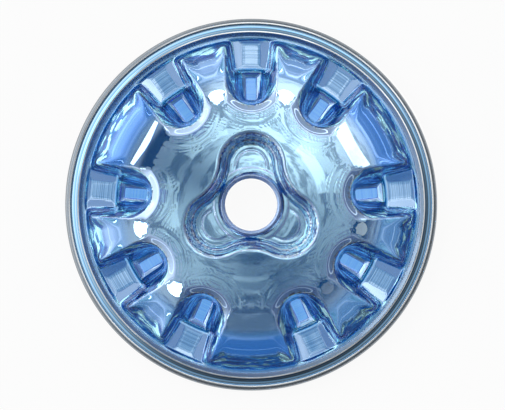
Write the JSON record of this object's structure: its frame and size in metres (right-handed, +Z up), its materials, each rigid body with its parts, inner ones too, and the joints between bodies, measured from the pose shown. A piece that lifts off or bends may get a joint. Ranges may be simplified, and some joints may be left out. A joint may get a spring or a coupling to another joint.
{
  "type": "flying disc",
  "caption": "Clear blue throwing disc with a domed crown, finger pockets round its shoulder, a lobed hub well and a soft rim ring.",
  "frame": {"origin": "on the disc's axis, at the height of the rim ring's flat foot", "axes": "+Z up along the disc's axis, out of the crown; +Y through the middle pocket of the first group"},
  "size_m": [0.27, 0.27, 0.033],
  "materials": {
    "clear_blue_plate": "polished see-through polycarbonate, tinted blue",
    "clear_soft_ring": "glossy soft clear ring with a faint grey-blue tint",
    "clear_eyelet": "glossy clear moulding with a faint grey-blue tint"
  },
  "bodies": {
    "root": {"flight_plate": "clear_blue_plate", "rim_ring": "clear_soft_ring", "eyelet_cap": "clear_eyelet", "eyelet_washer": "clear_eyelet"}
  },
  "joints": []
}
